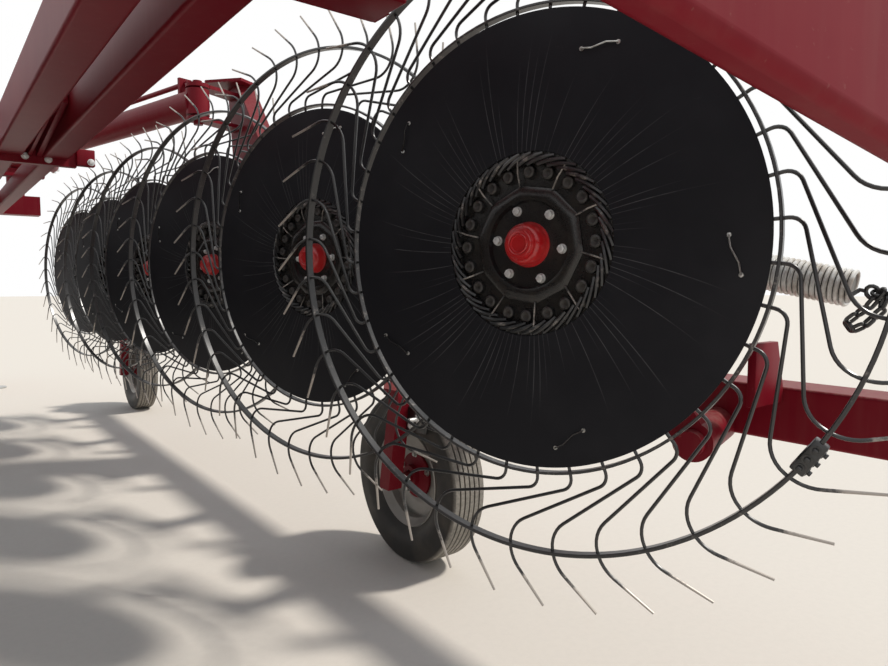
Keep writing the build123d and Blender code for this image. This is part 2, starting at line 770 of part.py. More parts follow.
with BuildPart() as rod:
    with BuildSketch(cylinder_plane(3 * cylinder_eye)):
        Circle(cylinder_rod_radius)
    extrude(amount=cylinder_span - 3 * cylinder_eye)
    with BuildSketch(Plane.XY.offset(cylinder_height - cylinder_eye / 2)):
        with Locations((cylinder_end.X, cylinder_end.Y)):
            Circle(cylinder_eye)
    extrude(amount=cylinder_eye)
    with BuildSketch(Plane.XY.offset(cylinder_height - cylinder_eye)):
        with Locations((cylinder_end.X, cylinder_end.Y)):
            Circle(cylinder_pin)
    extrude(amount=2 * cylinder_eye - seat_gap)
save_pair(rod.part, "cylinder_rod")
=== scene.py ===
import json
import math

import bmesh
import bpy
from mathutils import Matrix, Vector
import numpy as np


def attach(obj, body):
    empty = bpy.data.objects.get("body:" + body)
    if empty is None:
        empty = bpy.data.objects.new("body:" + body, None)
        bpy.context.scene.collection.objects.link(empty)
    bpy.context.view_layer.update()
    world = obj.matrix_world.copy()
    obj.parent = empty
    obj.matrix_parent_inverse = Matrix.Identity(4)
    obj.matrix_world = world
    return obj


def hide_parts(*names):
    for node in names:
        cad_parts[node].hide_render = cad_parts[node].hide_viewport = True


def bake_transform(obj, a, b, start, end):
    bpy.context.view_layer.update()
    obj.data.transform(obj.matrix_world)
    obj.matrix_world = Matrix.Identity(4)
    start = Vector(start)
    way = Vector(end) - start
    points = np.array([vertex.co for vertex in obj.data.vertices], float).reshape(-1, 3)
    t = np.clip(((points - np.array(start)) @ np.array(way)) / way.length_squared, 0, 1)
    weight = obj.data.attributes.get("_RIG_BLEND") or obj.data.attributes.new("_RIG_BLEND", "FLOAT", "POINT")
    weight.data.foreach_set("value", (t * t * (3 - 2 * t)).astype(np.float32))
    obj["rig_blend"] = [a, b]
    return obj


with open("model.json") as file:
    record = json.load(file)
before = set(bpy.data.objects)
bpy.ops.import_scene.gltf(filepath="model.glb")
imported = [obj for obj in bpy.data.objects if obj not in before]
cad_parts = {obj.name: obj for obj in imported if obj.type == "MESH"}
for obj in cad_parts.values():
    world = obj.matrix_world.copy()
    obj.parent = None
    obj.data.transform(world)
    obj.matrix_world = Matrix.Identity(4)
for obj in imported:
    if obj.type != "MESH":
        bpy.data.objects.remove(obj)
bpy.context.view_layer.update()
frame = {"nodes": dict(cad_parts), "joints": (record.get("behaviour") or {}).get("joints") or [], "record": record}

joints = {joint["name"]: joint for joint in frame["joints"]}
nodes = frame["nodes"]
scene = bpy.context.scene
sides = ("r", "l")
print("frame loaded:", len(nodes), "nodes")

# camera and studio

studio = {
    "cameraPlace": (-0.40, -4.45, 1.10),
    "cameraTurn": -37.9,  # degrees from straight ahead, to the right
    "cameraTilt": -4.3,
    "lens": 27.0,
    "sensor": 36.0,
    "clip": (0.01, 300.0),
    "floorHalf": 60.0,
    "floorColor": (0.78, 0.72, 0.64, 1),
    "floorRough": 0.95,
    "speckScale": 40.0,
    "specks": (0.35, 0.7, 0.0, 0.12),  # from and to in the noise, and how dark they are there
    "speckShade": 0.8,
    "backColor": (1.0, 1.0, 1.0, 1),
    "skyColor": (0.82, 0.90, 1.0, 1),
    "skyStrength": 0.55,
    "sunStrength": 2.7,
    "sunSoftness": 6.0,
    "sunTurn": (40, 0, 58),
    "sunColor": (1.0, 0.96, 0.90),
}


def addObject(name, data):
    added = bpy.data.objects.new(name, data)
    scene.collection.objects.link(added)
    return added


def makeCamera(settings):
    camera = addObject("camera", bpy.data.cameras.new("camera"))
    camera.location = settings["cameraPlace"]
    tilt = math.radians(90 + settings["cameraTilt"])
    camera.rotation_euler = (tilt, 0, math.radians(settings["cameraTurn"]))
    camera.data.lens = settings["lens"]
    camera.data.sensor_width = settings["sensor"]
    camera.data.clip_start, camera.data.clip_end = settings["clip"]
    scene.camera = camera


def makeLights(settings):
    # a soft sun, with a weak blue sky that shows as plain white where it is seen or mirrored
    sun = addObject("sun", bpy.data.lights.new("sun", "SUN"))
    sun.data.energy = settings["sunStrength"]
    sun.data.angle = math.radians(settings["sunSoftness"])
    sun.data.color = settings["sunColor"]
    sun.rotation_euler = [math.radians(angle) for angle in settings["sunTurn"]]
    world = bpy.data.worlds.new("sky")
    scene.world = world
    world.use_nodes = True
    tree = world.node_tree
    background = tree.nodes["Background"]
    rays = tree.nodes.new("ShaderNodeLightPath").outputs
    seen = calc(tree, "MAXIMUM", rays["Is Camera Ray"], rays["Is Glossy Ray"])
    seen = calc(tree, "MAXIMUM", seen, rays["Is Transmission Ray"])
    color = mixColors(tree, seen, settings["skyColor"], settings["backColor"])
    tree.links.new(color, background.inputs["Color"])
    strength = calc(tree, "MULTIPLY_ADD", seen, 1.0 - settings["skyStrength"], settings["skyStrength"])
    tree.links.new(strength, background.inputs["Strength"])


makeCamera(studio)
scene.view_settings.view_transform = "Standard"
print("camera made")

# node helpers for the sky and the materials


def addNode(tree, kind, **settings):
    node = tree.nodes.new(kind)
    for key, value in settings.items():
        setattr(node, key, value)
    return node


def feed(tree, socket, value):
    if isinstance(value, (int, float, tuple)):
        socket.default_value = value
    else:
        tree.links.new(value, socket)


def calc(tree, operation, *values, clamp=False):
    node = addNode(tree, "ShaderNodeMath", operation=operation, use_clamp=clamp)
    for socket, value in zip(node.inputs, values):
        feed(tree, socket, value)
    return node.outputs[0]


def mixColors(tree, factor, first, second):
    node = addNode(tree, "ShaderNodeMix", data_type="RGBA", blend_type="MIX")
    feed(tree, node.inputs[0], factor)
    feed(tree, node.inputs[6], first)
    feed(tree, node.inputs[7], second)
    return node.outputs[2]


def ramp(tree, value, low, high, lowOut=0.0, highOut=1.0):
    node = addNode(tree, "ShaderNodeMapRange", interpolation_type="SMOOTHSTEP")
    for socket, number in zip(node.inputs, (value, low, high, lowOut, highOut)):
        feed(tree, socket, number)
    return node.outputs[0]


def noise(tree, vector, scale, detail, roughness):
    node = addNode(tree, "ShaderNodeTexNoise")
    values = {"Vector": vector, "Scale": scale, "Detail": detail, "Roughness": roughness}
    for name, value in values.items():
        feed(tree, node.inputs[name], value)
    return node.outputs["Fac"]


def stretch(tree, vector, scale):
    node = addNode(tree, "ShaderNodeMapping")
    tree.links.new(vector, node.inputs["Vector"])
    node.inputs["Scale"].default_value = scale
    return node.outputs["Vector"]


def objectPlace(tree):
    return addNode(tree, "ShaderNodeTexCoord").outputs["Object"]


def splitPlace(tree, place):
    # its X, Y and Z
    split = addNode(tree, "ShaderNodeSeparateXYZ")
    tree.links.new(place, split.inputs[0])
    return split.outputs


makeLights(studio)
print("lights made")

# node groups for effects that materials share

weather = {
    "broad": (5.0, 0.6),  # detail and roughness of each noise
    "fine": (3.0, 0.7),
    "streak": (3.0, 0.6),
    "fineScale": 28.0,  # times the broad scale
    "streakScale": 1.6,
    "streakStretch": (22.0, 22.0, 1.6),
    "patch": (0.42, 0.68),  # where an effect starts and where it is whole
    "upward": (0.35, 0.95),
    "lying": (0.30, 0.72),
    "film": (0.45, 0.75),
    "filmShare": 0.12,
    "speck": (0.66, 0.74, 0.0, 0.45),  # also the dust at each
    "dustWhole": 0.7,  # the dust mask at which a surface is as rough as dust
    "broadHeight": 0.5,
    "fineHeight": 0.12,
    "bumpDistance": 0.002,
    "wornMiddle": 0.55,
}


def newGroup(name, takes, gives):
    # sockets by name, each a color or a number
    group = bpy.data.node_groups.new(name, "ShaderNodeTree")
    kinds = {"c": "NodeSocketColor", "f": "NodeSocketFloat"}
    for way, sockets in (("INPUT", takes), ("OUTPUT", gives)):
        for socketName, kind in sockets.items():
            group.interface.new_socket(name=socketName, in_out=way, socket_type=kinds[kind])
    return group, group.nodes.new("NodeGroupInput").outputs, group.nodes.new("NodeGroupOutput").inputs


def makeWeatherGroup(settings):
    # fading in broad patches, dust on what faces up, a film of it in streaks, and specks
    takes = {"Paint": "c", "Faded": "c", "Dust": "c", "Fading": "f", "Dusting": "f", "Scale": "f"}
    tree, take, give = newGroup("weather", takes, {"Color": "c", "Mask": "f", "Height": "f"})
    place = addNode(tree, "ShaderNodeTexCoord").outputs
    point = place["Object"]
    up = splitPlace(tree, place["Normal"])["Z"]
    fineScale = calc(tree, "MULTIPLY", take["Scale"], settings["fineScale"])
    stretched = stretch(tree, point, settings["streakStretch"])
    broad = noise(tree, point, take["Scale"], *settings["broad"])
    fine = noise(tree, point, fineScale, *settings["fine"])
    streaks = noise(tree, stretched, settings["streakScale"], *settings["streak"])
    patch = ramp(tree, broad, *settings["patch"])
    faded = mixColors(tree, calc(tree, "MULTIPLY", patch, take["Fading"]), take["Paint"], take["Faded"])
    flat = ramp(tree, up, *settings["upward"])
    lying = calc(tree, "MULTIPLY", flat, ramp(tree, fine, *settings["lying"]))
    film = calc(tree, "MULTIPLY", ramp(tree, streaks, *settings["film"]), settings["filmShare"])
    speck = ramp(tree, fine, *settings["speck"])
    amount = calc(tree, "ADD", calc(tree, "ADD", lying, film), speck)
    dust = calc(tree, "MULTIPLY", amount, take["Dusting"], clamp=True)
    tree.links.new(mixColors(tree, dust, faded, take["Dust"]), give["Color"])
    tree.links.new(dust, give["Mask"])
    broadHeight = calc(tree, "MULTIPLY", broad, settings["broadHeight"])
    fineHeight = calc(tree, "MULTIPLY", fine, settings["fineHeight"])
    tree.links.new(calc(tree, "ADD", broadHeight, fineHeight), give["Height"])
    return tree


def makeWornGroup(settings):
    # rubbed places: the mesh's wear value, broken up by noise
    takes = {"Coat": "c", "Bare": "c", "Spread": "f", "Scale": "f"}
    tree, take, give = newGroup("worn", takes, {"Color": "c", "Mask": "f"})
    wear = addNode(tree, "ShaderNodeAttribute", attribute_name="wear").outputs["Fac"]
    broken = noise(tree, objectPlace(tree), take["Scale"], detail=4.0, roughness=0.7)
    lifted = calc(tree, "ADD", wear, calc(tree, "SUBTRACT", broken, 0.5))
    low = calc(tree, "SUBTRACT", settings["wornMiddle"], take["Spread"])
    high = calc(tree, "ADD", settings["wornMiddle"], take["Spread"])
    mask = ramp(tree, lifted, low, high)
    tree.links.new(mixColors(tree, mask, take["Coat"], take["Bare"]), give["Color"])
    tree.links.new(mask, give["Mask"])
    return tree


weatherGroup = makeWeatherGroup(weather)
wornGroup = makeWornGroup(weather)

# materials

finishes = {
    "red": (0.185, 0.005, 0.014, 1),
    "redFaded": (0.27, 0.030, 0.036, 1),
    "dust": (0.42, 0.34, 0.26, 1),
    "hubRed": (0.50, 0.008, 0.012, 1),
    "hubRedPale": (0.66, 0.06, 0.05, 1),
    "tineBlack": (0.009, 0.009, 0.010, 1),
    "tineBare": (0.44, 0.40, 0.36, 1),
    "plastic": (0.0150, 0.0150, 0.0180, 1),
    "plasticRub": (0.15, 0.15, 0.155, 1),
    "enamelWorn": (0.030, 0.027, 0.022, 1),
    "boltZinc": (0.80, 0.80, 0.79, 1),
    "zinc": (0.56, 0.56, 0.54, 1),
    "zincDull": (0.30, 0.29, 0.27, 1),
    "tyre": (0.028, 0.026, 0.024, 1),
    "tyreDust": (0.10, 0.085, 0.066, 1),
    "treadDust": (0.34, 0.315, 0.275, 1),
    "rim": (0.34, 0.32, 0.29, 1),
    "rimDust": (0.22, 0.18, 0.14, 1),
    "chrome": (0.70, 0.70, 0.71, 1),
    "spring": (0.74, 0.74, 0.72, 1),
    "springDull": (0.42, 0.38, 0.33, 1),
}


def useGroup(tree, group, **values):
    node = addNode(tree, "ShaderNodeGroup")
    node.node_tree = group
    for key, value in values.items():
        feed(tree, node.inputs[key], value)
    return node.outputs


def newMaterial(name, **sockets):
    # a socket's name is written with underscores for its spaces
    material = bpy.data.materials.new(name)
    material.use_nodes = True
    tree = material.node_tree
    shader = tree.nodes["Principled BSDF"]
    for key, value in sockets.items():
        shader.inputs[key.replace("_", " ")].default_value = value
    return material, tree, shader


def addBump(tree, shader, height, strength, distance):
    bump = addNode(tree, "ShaderNodeBump")
    bump.inputs["Strength"].default_value = strength
    bump.inputs["Distance"].default_value = distance
    tree.links.new(height, bump.inputs["Height"])
    tree.links.new(bump.outputs["Normal"], shader.inputs["Normal"])


def setSurface(tree, shader, color, mask, rough, whole=1.0):
    # a color, and a roughness that goes from one value to the other as the mask fills
    tree.links.new(color, shader.inputs["Base Color"])
    tree.links.new(ramp(tree, mask, 0.0, whole, *rough), shader.inputs["Roughness"])


def weathered(name, colors, fading, dusting, scale, rough, bump, **sockets):
    # colors of the paint, its faded patches and its dust, and the roughness of paint and dust
    material, tree, shader = newMaterial(name, **sockets)
    paint, faded, dust = (finishes[color] for color in colors)
    out = useGroup(
        tree, weatherGroup, Paint=paint, Faded=faded, Dust=dust,
        Fading=fading, Dusting=dusting, Scale=scale,
    )
    setSurface(tree, shader, out["Color"], out["Mask"], rough, weather["dustWhole"])
    addBump(tree, shader, out["Height"], bump, weather["bumpDistance"])
    return material


tinePaint = {
    "specular": 0.75,
    "spread": 0.18,
    "scale": 55.0,
    "rough": (0.30, 0.45),  # of the paint and of bare steel
    "bareMetallic": 0.7,
}


def makeBlackPaint(settings):
    # paint that is rubbed off the tines' tips
    material, tree, shader = newMaterial("blackPaint", Specular_IOR_Level=settings["specular"])
    out = useGroup(
        tree, wornGroup, Coat=finishes["tineBlack"], Bare=finishes["tineBare"],
        Spread=settings["spread"], Scale=settings["scale"],
    )
    setSurface(tree, shader, out["Color"], out["Mask"], settings["rough"])
    metallic = calc(tree, "MULTIPLY", out["Mask"], settings["bareMetallic"])
    tree.links.new(metallic, shader.inputs["Metallic"])
    return material


panelMarks = {
    "specular": 0.12,
    "rays": 120,
    "rayWidth": 0.075,
    "swirl": 0.06,
    "inner": 0.20,
    "outer": 0.46,
    "fade": 0.16,
    "strength": 0.75,
    "broken": (0.30, 0.60, 0.25, 1.0),  # from and to in the noise, and the effect at each
    "brokenScale": 14.0,
    "scuffs": (0.62, 0.78, 0.0, 0.10),
    "scuffStretch": (9.0, 90.0, 9.0),
    "scuffScale": 2.2,
    "haze": (0.4, 0.75, 0.0, 0.05),
    "hazeScale": 3.2,
    "rough": (0.42, 0.6),
    "rubWhole": 0.6,
    "grainScale": 420.0,
    "grainHeight": 0.25,
    "bump": (0.12, 0.001),
}


def addRays(tree, place, marks):
    # thin lines out from the hub, each of its own length, and broken up
    parts = splitPlace(tree, place)
    x, y = parts["X"], parts["Y"]
    angle = calc(tree, "DIVIDE", calc(tree, "ARCTAN2", y, x), 2 * math.pi)
    squares = calc(tree, "ADD", calc(tree, "MULTIPLY", x, x), calc(tree, "MULTIPLY", y, y))
    radius = calc(tree, "SQRT", squares)
    turned = calc(tree, "ADD", angle, calc(tree, "MULTIPLY", radius, marks["swirl"]))
    lanes = calc(tree, "MULTIPLY", calc(tree, "ADD", turned, 1.0), float(marks["rays"]))
    across = calc(tree, "ABSOLUTE", calc(tree, "SUBTRACT", calc(tree, "FRACT", lanes), 0.5))
    chance = addNode(tree, "ShaderNodeTexWhiteNoise", noise_dimensions="1D")
    tree.links.new(calc(tree, "FLOOR", lanes), chance.inputs["W"])
    thin = calc(tree, "SUBTRACT", 1.0, ramp(tree, across, 0.0, marks["rayWidth"]))
    length = calc(tree, "MULTIPLY", chance.outputs["Value"], marks["outer"] - marks["inner"])
    left = calc(tree, "SUBTRACT", calc(tree, "ADD", marks["inner"], length), radius)
    whole = calc(tree, "MULTIPLY", thin, ramp(tree, left, 0.0, marks["fade"]))
    chips = noise(tree, place, marks["brokenScale"], detail=4.0, roughness=0.7)
    return calc(tree, "MULTIPLY", whole, ramp(tree, chips, *marks["broken"]))


def makePanelPlastic(marks):
    # faint pale rays where the tines press from behind, with scuffs and dull patches
    material, tree, shader = newMaterial("panelPlastic", Specular_IOR_Level=marks["specular"])
    place = objectPlace(tree)
    ray = addRays(tree, place, marks)
    stretched = stretch(tree, place, marks["scuffStretch"])
    scuffs = noise(tree, stretched, marks["scuffScale"], detail=5.0, roughness=0.75)
    haze = noise(tree, place, marks["hazeScale"], detail=4.0, roughness=0.6)
    total = calc(tree, "MULTIPLY", ray, marks["strength"])
    total = calc(tree, "ADD", total, ramp(tree, scuffs, *marks["scuffs"]))
    total = calc(tree, "ADD", total, ramp(tree, haze, *marks["haze"]), clamp=True)
    color = mixColors(tree, total, finishes["plastic"], finishes["plasticRub"])
    setSurface(tree, shader, color, total, marks["rough"], marks["rubWhole"])
    grain = noise(tree, place, marks["grainScale"], detail=2.0, roughness=0.5)
    height = calc(tree, "ADD", calc(tree, "MULTIPLY", grain, marks["grainHeight"]), ray)
    addBump(tree, shader, height, *marks["bump"])
    return material


def makeMetal(name, bright, dull, scale, rough, metallic=1.0):
    # bright metal with dull patches, and the roughness of each
    material, tree, shader = newMaterial(name, Metallic=metallic)
    place = objectPlace(tree)
    patch = ramp(tree, noise(tree, place, scale, detail=5.0, roughness=0.65), 0.35, 0.7)
    setSurface(tree, shader, mixColors(tree, patch, finishes[bright], finishes[dull]), patch, rough)
    grain = noise(tree, place, scale * 9, detail=2.0, roughness=0.5)
    addBump(tree, shader, grain, strength=0.08, distance=0.001)
    return material


tyreMarks = {
    "specular": 0.35,
    "slits": 300,
    "slitWidth": (0.04, 0.14),  # in shares of the way from slit to slit
    "zigzags": 70.0,  # per metre across the tread
    "grit": (0.3, 0.7, 0.55, 1.0),
    "gritScale": 60.0,
    "wall": (0.35, 0.75),
    "wallScale": 7.0,
    "wallDust": 0.6,
    "rough": (0.55, 0.9),
    "gritHeight": 0.3,
    "bump": (0.5, 0.003),
}


def makeTyreRubber(marks):
    # zigzag slits and pale dust on the tread, which the wear value marks, and brown dust on the walls
    material, tree, shader = newMaterial("tyreRubber", Specular_IOR_Level=marks["specular"])
    place = objectPlace(tree)
    parts = splitPlace(tree, place)
    angle = calc(tree, "ARCTAN2", parts["Y"], parts["X"])
    around = calc(tree, "MULTIPLY", angle, marks["slits"] / (2 * math.pi))
    zigzag = calc(tree, "PINGPONG", calc(tree, "MULTIPLY", parts["Z"], marks["zigzags"]), 0.5)
    slits = calc(tree, "PINGPONG", calc(tree, "ADD", around, zigzag), 0.5)
    slit = calc(tree, "SUBTRACT", 1.0, ramp(tree, slits, *marks["slitWidth"]))
    wear = addNode(tree, "ShaderNodeAttribute", attribute_name="wear").outputs["Fac"]
    grit = noise(tree, place, marks["gritScale"], detail=4.0, roughness=0.7)
    broad = noise(tree, place, marks["wallScale"], detail=4.0, roughness=0.6)
    tread = calc(tree, "MULTIPLY", wear, ramp(tree, grit, *marks["grit"]))
    wall = calc(tree, "MULTIPLY", ramp(tree, broad, *marks["wall"]), marks["wallDust"])
    side = mixColors(tree, wall, finishes["tyre"], finishes["tyreDust"])
    setSurface(tree, shader, mixColors(tree, tread, side, finishes["treadDust"]), tread, marks["rough"])
    cut = calc(tree, "MULTIPLY", slit, wear)
    height = calc(tree, "SUBTRACT", calc(tree, "MULTIPLY", grit, marks["gritHeight"]), cut)
    addBump(tree, shader, height, *marks["bump"])
    return material


def makeFloorMaterial(settings):
    material, tree, shader = newMaterial("floorPale", Roughness=settings["floorRough"])
    specks = noise(tree, objectPlace(tree), settings["speckScale"], detail=3.0, roughness=0.7)
    darker = tuple(channel * settings["speckShade"] for channel in settings["floorColor"][:3]) + (1,)
    color = mixColors(tree, ramp(tree, specks, *settings["specks"]), settings["floorColor"], darker)
    tree.links.new(color, shader.inputs["Base Color"])
    return material


redPaint = weathered(
    "redPaint", ("red", "redFaded", "dust"), fading=0.30, dusting=0.24, scale=2.2, rough=(0.44, 0.78),
    bump=0.05, Specular_IOR_Level=0.14,
)
hubRed = weathered(
    "hubRed", ("hubRed", "hubRedPale", "dust"), fading=0.35, dusting=0.04, scale=30.0, rough=(0.28, 0.7),
    bump=0.05, Coat_Weight=0.4, Coat_Roughness=0.1,
)
blackEnamel = weathered(
    "blackEnamel", ("tineBlack", "enamelWorn", "dust"), fading=0.5, dusting=0.045, scale=18.0,
    rough=(0.26, 0.6), bump=0.1,
)
rubberPlug = weathered(
    "rubberPlug", ("tineBlack", "enamelWorn", "dust"), fading=0.6, dusting=0.07, scale=45.0,
    rough=(0.42, 0.8), bump=0.2,
)
rimPaint = weathered(
    "rimPaint", ("rim", "zincDull", "rimDust"), fading=0.8, dusting=0.9, scale=9.0, rough=(0.4, 0.85),
    bump=0.1, Metallic=0.35,
)
blackPaint = makeBlackPaint(tinePaint)
panelPlastic = makePanelPlastic(panelMarks)
zinc = makeMetal("zincPlate", "zinc", "zincDull", scale=40.0, rough=(0.28, 0.5))
boltZinc = makeMetal("boltZinc", "boltZinc", "zinc", scale=90.0, rough=(0.35, 0.5), metallic=0.45)
chrome = makeMetal("chromeRod", "chrome", "zinc", scale=12.0, rough=(0.08, 0.22))
springSteel = makeMetal("springSteel", "spring", "springDull", scale=25.0, rough=(0.42, 0.6), metallic=0.55)
tyreRubber = makeTyreRubber(tyreMarks)
floorMaterial = makeFloorMaterial(studio)
print("materials made")

# mesh helpers: slot is the number of the material on the mesh, wear its rubbing at each ring


def polar(radius, angle):
    return radius * math.cos(angle), radius * math.sin(angle)


def startMesh():
    bm = bmesh.new()
    bm.verts.layers.float.new("wear")
    return bm


def joinRings(bm, rings, slot, closed=False):
    count = len(rings)
    for place in range(count if closed else count - 1):
        first, second = rings[place], rings[(place + 1) % count]
        around = max(len(first), len(second))
        for step in range(around):
            after = (step + 1) % around
            quad = (first[step % len(first)], first[after % len(first)])
            quad += (second[after % len(second)], second[step % len(second)])
            corners = list(dict.fromkeys(quad))
            if len(corners) > 2:
                bm.faces.new(corners).material_index = slot


def lathe(bm, profile, segments, slot=0, at=Matrix(), closed=False, wear=None):
    # a profile of radius and height, turned about Z
    layer = bm.verts.layers.float["wear"]
    rings = []
    for place, (radius, height) in enumerate(profile):
        steps = 1 if radius < 1e-7 else segments
        ring = []
        for step in range(steps):
            x, y = polar(radius, 2 * math.pi * step / segments)
            ring.append(bm.verts.new(at @ Vector((x, y, height))))
            ring[-1][layer] = wear[place] if wear else 0.0
        rings.append(ring)
    joinRings(bm, rings, slot, closed)


def tube(bm, points, radius, around=8, slot=0, closed=False, wear=None):
    # a round bar along points, with flat ends; radius is one size or one for each point
    layer = bm.verts.layers.float["wear"]
    count = len(points)
    across = None
    rings = []
    for place, point in enumerate(points):
        if closed:
            way = points[(place + 1) % count] - points[place - 1]
        else:
            way = points[min(place + 1, count - 1)] - points[max(place - 1, 0)]
        way.normalize()
        across = way.orthogonal() if across is None else across - way * across.dot(way)
        across.normalize()
        other = way.cross(across)
        size = radius[place] if isinstance(radius, (list, tuple)) else radius
        ring = []
        for step in range(around):
            x, y = polar(size, 2 * math.pi * step / around)
            ring.append(bm.verts.new(point + across * x + other * y))
            ring[-1][layer] = wear[place] if wear else 0.0
        rings.append(ring)
    joinRings(bm, rings, slot, closed)
    if not closed:
        bm.faces.new(rings[0]).material_index = slot
        bm.faces.new(rings[-1][::-1]).material_index = slot


def plate(bm, outline, low, high, slot=0, at=Matrix(), bevel=0.0):
    # an outline in XY, given thickness along Z
    bottom = [bm.verts.new(at @ Vector((x, y, low))) for x, y in outline]
    top = [bm.verts.new(at @ Vector((x, y, high))) for x, y in outline]
    faces = [bm.faces.new(bottom[::-1]), bm.faces.new(top)]
    for place in range(len(outline)):
        after = (place + 1) % len(outline)
        faces.append(bm.faces.new((bottom[place], bottom[after], top[after], top[place])))
    for face in faces:
        face.material_index = slot
    if bevel:
        edges = list({edge for face in faces for edge in face.edges})
        bmesh.ops.bevel(
            bm, geom=edges, offset=bevel, segments=2, affect="EDGES", profile=0.5, clamp_overlap=True,
            material=-1,
        )


def addBox(bm, spans, bevel):
    (left, right), (rear, front), (low, high) = spans
    outline = [(left, rear), (right, rear), (right, front), (left, front)]
    plate(bm, outline, low, high, bevel=bevel)


def addBoxPair(bm, spans, bevel):
    # a box, and its mirror image across the middle
    (near, far), *rest = spans
    for across in ((near, far), (-far, -near)):
        addBox(bm, [across] + rest, bevel)


def ngon(radius, corners, phase=0.0):
    return [polar(radius, phase + 2 * math.pi * corner / corners) for corner in range(corners)]


def hexBolt(bm, at, radius, height, slot=0, washer=1.6):
    # a hexagon head on a washer, which is wider by the factor given
    wide, thick = radius * washer, height * 0.2
    lathe(bm, [(0, 0), (wide, 0), (wide, thick), (0, thick)], 18, slot, at)
    plate(bm, ngon(radius, 6), thick, height, slot, at, bevel=height * 0.1)


def arcPath(corners, radii, steps=6):
    # straight runs joined by tangent arcs, for corners given as vectors
    path = [corners[0]]
    for place in range(1, len(corners) - 1):
        corner, radius = corners[place], radii[place - 1]
        back = (corners[place - 1] - corner).normalized()
        ahead = (corners[place + 1] - corner).normalized()
        half = back.angle(ahead) / 2
        reach = radius / math.tan(half)
        middle = corner + (back + ahead).normalized() * (radius / math.sin(half))
        first = (corner + back * reach - middle).normalized()
        last = (corner + ahead * reach - middle).normalized()
        for step in range(steps + 1):
            path.append(middle + first.slerp(last, step / steps) * radius)
    path.append(corners[-1])
    return path


def saveMesh(bm, name, materials):
    mesh = bpy.data.meshes.new(name)
    bm.to_mesh(mesh)
    bm.free()
    for material in materials:
        mesh.materials.append(material)
    return mesh


def finishMesh(bm, name, materials, sharp=38):
    # smooth, but for edges sharper than that many degrees
    bmesh.ops.recalc_face_normals(bm, faces=bm.faces)
    mesh = saveMesh(bm, name, materials)
    for face in mesh.polygons:
        face.use_smooth = True
    mesh.set_sharp_from_angle(angle=math.radians(sharp))
    return mesh


def bothSides(mesh, leftName):
    # the right side's mesh, and its mirror image for the left
    bm = bmesh.new()
    bm.from_mesh(mesh)
    bmesh.ops.scale(bm, vec=(-1, 1, 1), verts=bm.verts)
    bmesh.ops.reverse_faces(bm, faces=bm.faces)
    return {"r": mesh, "l": saveMesh(bm, leftName, mesh.materials)}


def placePiece(mesh, name, body, at=Matrix(), replaced=()):
    piece = addObject(name, mesh)
    piece.matrix_world = at
    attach(piece, body)
    if replaced:
        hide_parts(*replaced)


def numberedNames(count):
    # each number and side, with the end that they give to a name
    return [(number, side, f"_{number}_{side}") for side in sides for number in range(1, count + 1)]


# places and directions

rearward = Matrix.Rotation(math.pi / 2, 4, "X")  # turns Z to the rear
lengthways = Matrix(((0, 0, 1, 0), (1, 0, 0, 0), (0, 1, 0, 0), (0, 0, 0, 1)))  # X to the front, Y up
mirror = Matrix.Scale(-1, 4, Vector((1, 0, 0)))


def facing(way, place):
    # Z along way, Y up
    up = Vector((0, 0, 1))
    turned = Matrix((up.cross(way), up, way)).transposed().to_4x4()
    turned.translation = place
    return turned


def wheelPlace(number, side):
    # Z towards the wheel's face
    joint = joints[f"rake_spin_{number}_{side}"]
    return facing(Vector(joint["axis"]).normalized() * (1 if side == "r" else -1), joint["pos_m"])


def onWheel(radius, clockwise, height=0.0):
    return Vector((*polar(radius, -math.radians(clockwise)), height))


# rake wheels

